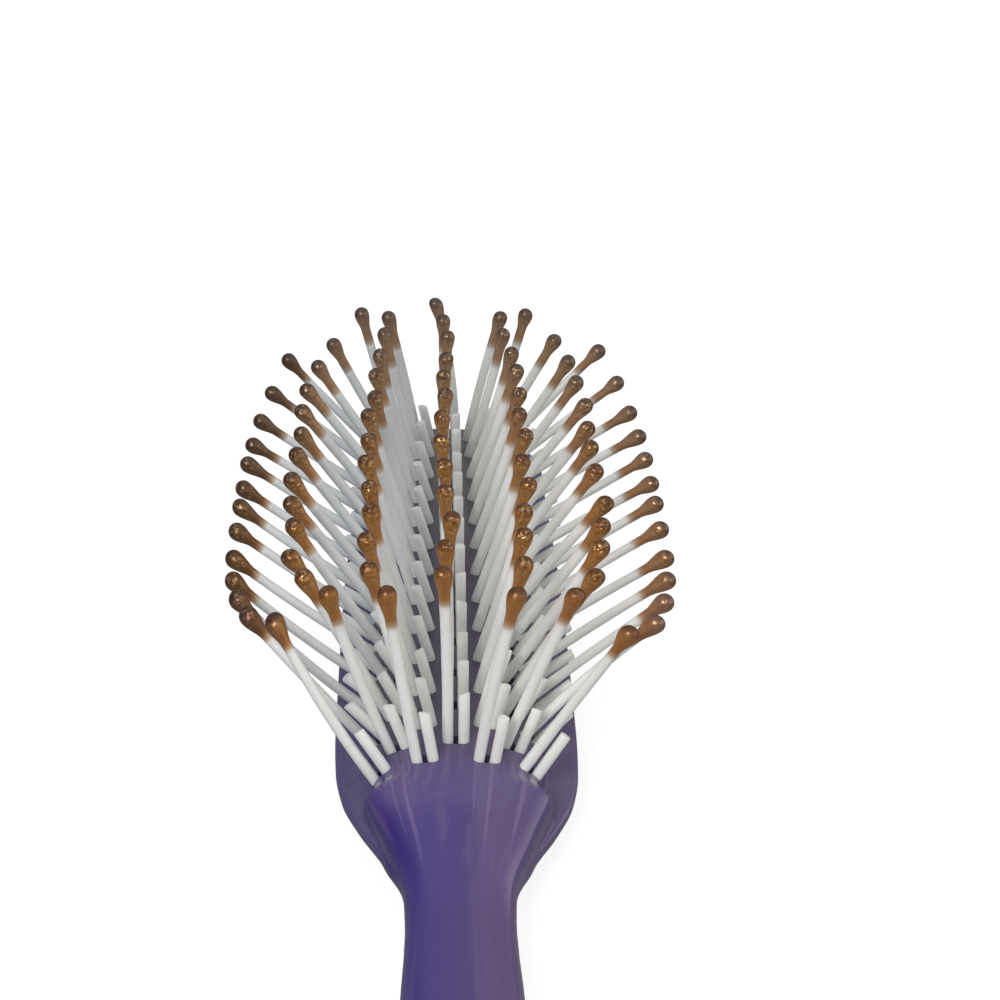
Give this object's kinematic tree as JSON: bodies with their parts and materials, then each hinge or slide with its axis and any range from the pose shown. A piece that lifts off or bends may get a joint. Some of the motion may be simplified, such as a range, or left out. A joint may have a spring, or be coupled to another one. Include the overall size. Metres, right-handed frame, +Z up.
{
  "type": "vent brush",
  "caption": "Half-round styling brush: purple one-piece handle and head with rows of white nylon bristles that end in bronze ball tips.",
  "frame": {"origin": "middle of the flat on the back of the head, which is the face that the brush lies on", "axes": "+Y along the brush from the handle to the nose, +Z up through the bristles, +X to the right seen from the handle end"},
  "size_m": [0.0538, 0.2241, 0.0329],
  "materials": {
    "body_plastic": "glossy, slightly pearly moulded plastic",
    "nylon": "satin, slightly translucent nylon",
    "ball_tips": "glossy bronze dip coat with fine metallic speckle",
    "anchors": "plain wire flats, hidden in the tuft holes"
  },
  "bodies": {
    "root": {"body": "body_plastic", "bristle_row_01": "nylon", "bristle_row_02": "nylon", "bristle_row_03": "nylon", "bristle_row_04": "nylon", "bristle_row_05": "nylon", "bristle_row_06": "nylon", "bristle_row_07": "nylon", "bristle_row_08": "nylon", "bristle_row_09": "nylon", "bristle_row_10": "nylon", "bristle_row_11": "nylon", "bristle_row_12": "nylon", "bristle_row_13": "nylon"}
  },
  "joints": []
}
